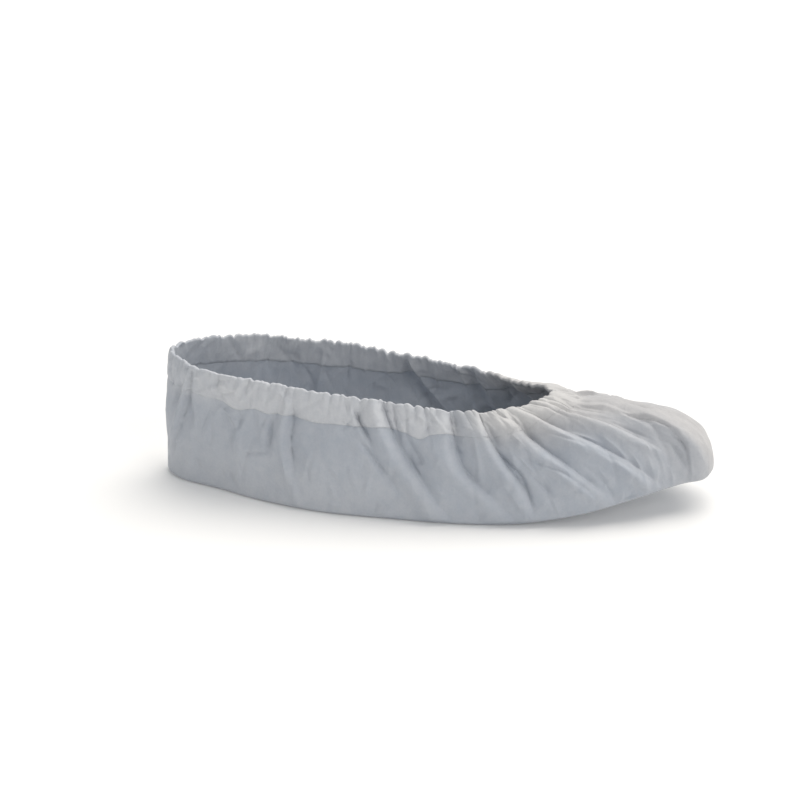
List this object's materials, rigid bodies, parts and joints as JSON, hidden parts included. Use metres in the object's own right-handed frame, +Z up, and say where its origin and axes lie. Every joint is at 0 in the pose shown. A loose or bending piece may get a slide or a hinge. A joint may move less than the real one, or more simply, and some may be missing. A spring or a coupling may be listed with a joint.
{
  "type": "shoe cover",
  "caption": "Slip-on cloth cover for a low shoe: a hollow bag with flat sole, lifted toe, gathered elastic hem round a long opening and folds fanning over the vamp.",
  "frame": {"origin": "middle of the footprint, on the underside of the sole", "axes": "+X towards the toe, +Z up out of the opening, -Y the side that the picture shows"},
  "size_m": [0.3106, 0.1064, 0.0754],
  "materials": {
    "cover_cloth": "matt coated nonwoven cloth",
    "hem_cloth": "matt nonwoven cloth, doubled",
    "elastic": "flat elastic tape"
  },
  "bodies": {
    "root": {"cover_body": "cover_cloth", "hem_casing": "hem_cloth", "elastic_band": "elastic"}
  },
  "joints": []
}
